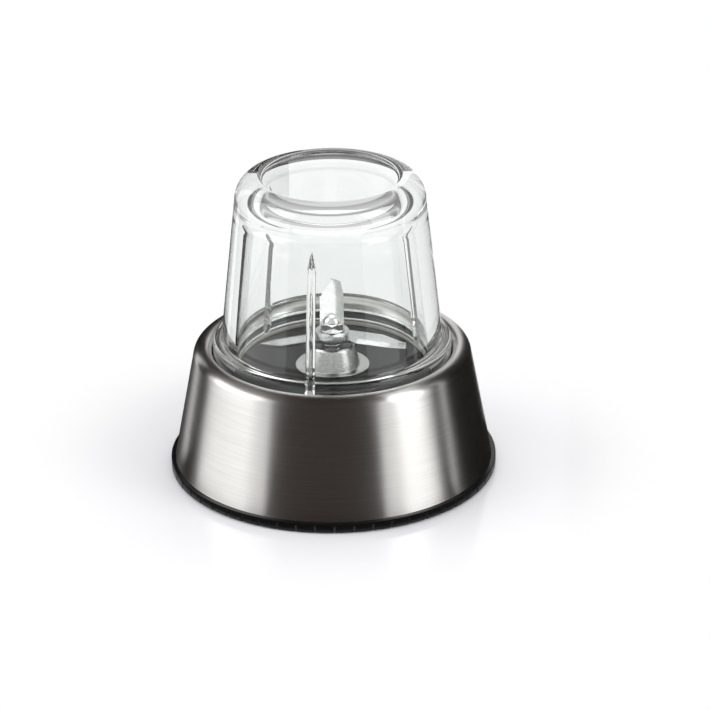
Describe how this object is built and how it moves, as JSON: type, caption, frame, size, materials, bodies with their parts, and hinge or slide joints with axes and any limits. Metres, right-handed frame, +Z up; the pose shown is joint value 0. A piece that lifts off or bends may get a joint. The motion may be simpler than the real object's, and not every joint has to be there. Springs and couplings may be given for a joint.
{
  "type": "electric spice grinder",
  "caption": "Electric spice grinder: upturned clear glass jar with steel blades on a low brushed steel motor base with a black bottom ring.",
  "frame": {"origin": "on the table under the middle of the base, at the lowest face of the feet", "axes": "+Z up along the axis of jar and motor, -Y towards the front, +Y towards the cord inlet"},
  "size_m": [0.12, 0.12, 0.1131],
  "materials": {
    "black_plastic": "satin moulded plastic",
    "housing_plastic": "matt moulded plastic",
    "foot_rubber": "matt",
    "screw_steel": "zinc plated",
    "skirt_steel": "brushed around the skirt",
    "bush_plastic": "satin",
    "can_steel": "zinc plated",
    "phenolic": "matt",
    "ferrite": "ground",
    "bronze": "sintered, matt",
    "brass": "bright",
    "carbon": "matt carbon",
    "damper_rubber": "matt",
    "switch_plastic": "gloss",
    "board_green": "solder mask",
    "part_amber": "dipped",
    "lead_red": "satin insulation",
    "spring_steel": "drawn wire",
    "pin_acetal": "natural acetal",
    "plunger_red": "gloss",
    "shaft_steel": "ground",
    "lamination": "stacked steel sheet",
    "copper": "enamelled copper",
    "bar_copper": "bright copper",
    "coupling_plastic": "hard black rubber",
    "cap_steel": "pressed, satin",
    "seal_silicone": "translucent silicone",
    "blade_steel": "ground",
    "nut_steel": "polished",
    "jar_glass": "clear pressed glass"
  },
  "bodies": {
    "base": {"bottom_cover": "black_plastic", "rubber_feet": "foot_rubber", "cover_screws": "screw_steel", "inner_housing": "housing_plastic", "steel_skirt": "skirt_steel", "cord_inlet": "bush_plastic", "motor_can": "can_steel", "motor_end_plate": "phenolic", "motor_magnets": "ferrite", "motor_bushings": "bronze", "brush_holders": "brass", "carbon_brushes": "carbon", "motor_screws": "screw_steel", "damper_ring": "damper_rubber", "drip_seal": "damper_rubber", "micro_switch": "switch_plastic", "circuit_board": "board_green", "board_parts": "part_amber", "lead_wires": "lead_red", "pin_springs": "spring_steel"},
    "pins": {"interlock_pins": "pin_acetal"},
    "plunger": {"switch_plunger": "plunger_red"},
    "rotor": {"motor_shaft": "shaft_steel", "armature_core": "lamination", "armature_windings": "copper", "commutator": "bar_copper", "drive_coupling": "coupling_plastic"},
    "carrier": {"blade_carrier": "black_plastic", "hub_cap": "cap_steel", "jar_seal": "seal_silicone", "carrier_bushings": "bronze", "lip_seal": "damper_rubber"},
    "blades": {"blade_shaft": "shaft_steel", "lower_blade": "blade_steel", "blade_spacer": "shaft_steel", "upper_blade": "blade_steel", "blade_nut": "nut_steel", "driven_coupling": "coupling_plastic"},
    "jar": {"glass_jar": "jar_glass"}
  },
  "joints": [
    {"name": "jar_press", "type": "slide", "parent": "base", "child": "carrier", "axis": [0, 0, 1], "range_m": [-0.002, 0], "stiffness_N_per_m": 3000, "springref_m": 0.004},
    {"name": "jar_lift", "type": "slide", "parent": "carrier", "child": "jar", "axis": [0, 0, 1], "range_m": [0, 0.075]},
    {"name": "motor_spin", "type": "hinge", "parent": "base", "child": "rotor", "pos_m": [0, 0, 0.012], "axis": [0, 0, 1], "continuous": true},
    {"name": "blade_spin", "type": "hinge", "parent": "carrier", "child": "blades", "pos_m": [0, 0, 0.045], "axis": [0, 0, 1], "continuous": true},
    {"name": "pin_travel", "type": "slide", "parent": "base", "child": "pins", "axis": [0, 0, 1], "range_m": [-0.002, 0], "deforming": ["pin_springs"]},
    {"name": "plunger_travel", "type": "slide", "parent": "base", "child": "plunger", "axis": [0, 0, 1], "range_m": [-0.002, 0]}
  ],
  "couplings": [
    {"joint": "blade_spin", "follows": "motor_spin", "ratio": 1},
    {"joint": "pin_travel", "follows": "jar_press", "ratio": 1},
    {"joint": "plunger_travel", "follows": "jar_press", "ratio": 1}
  ]
}
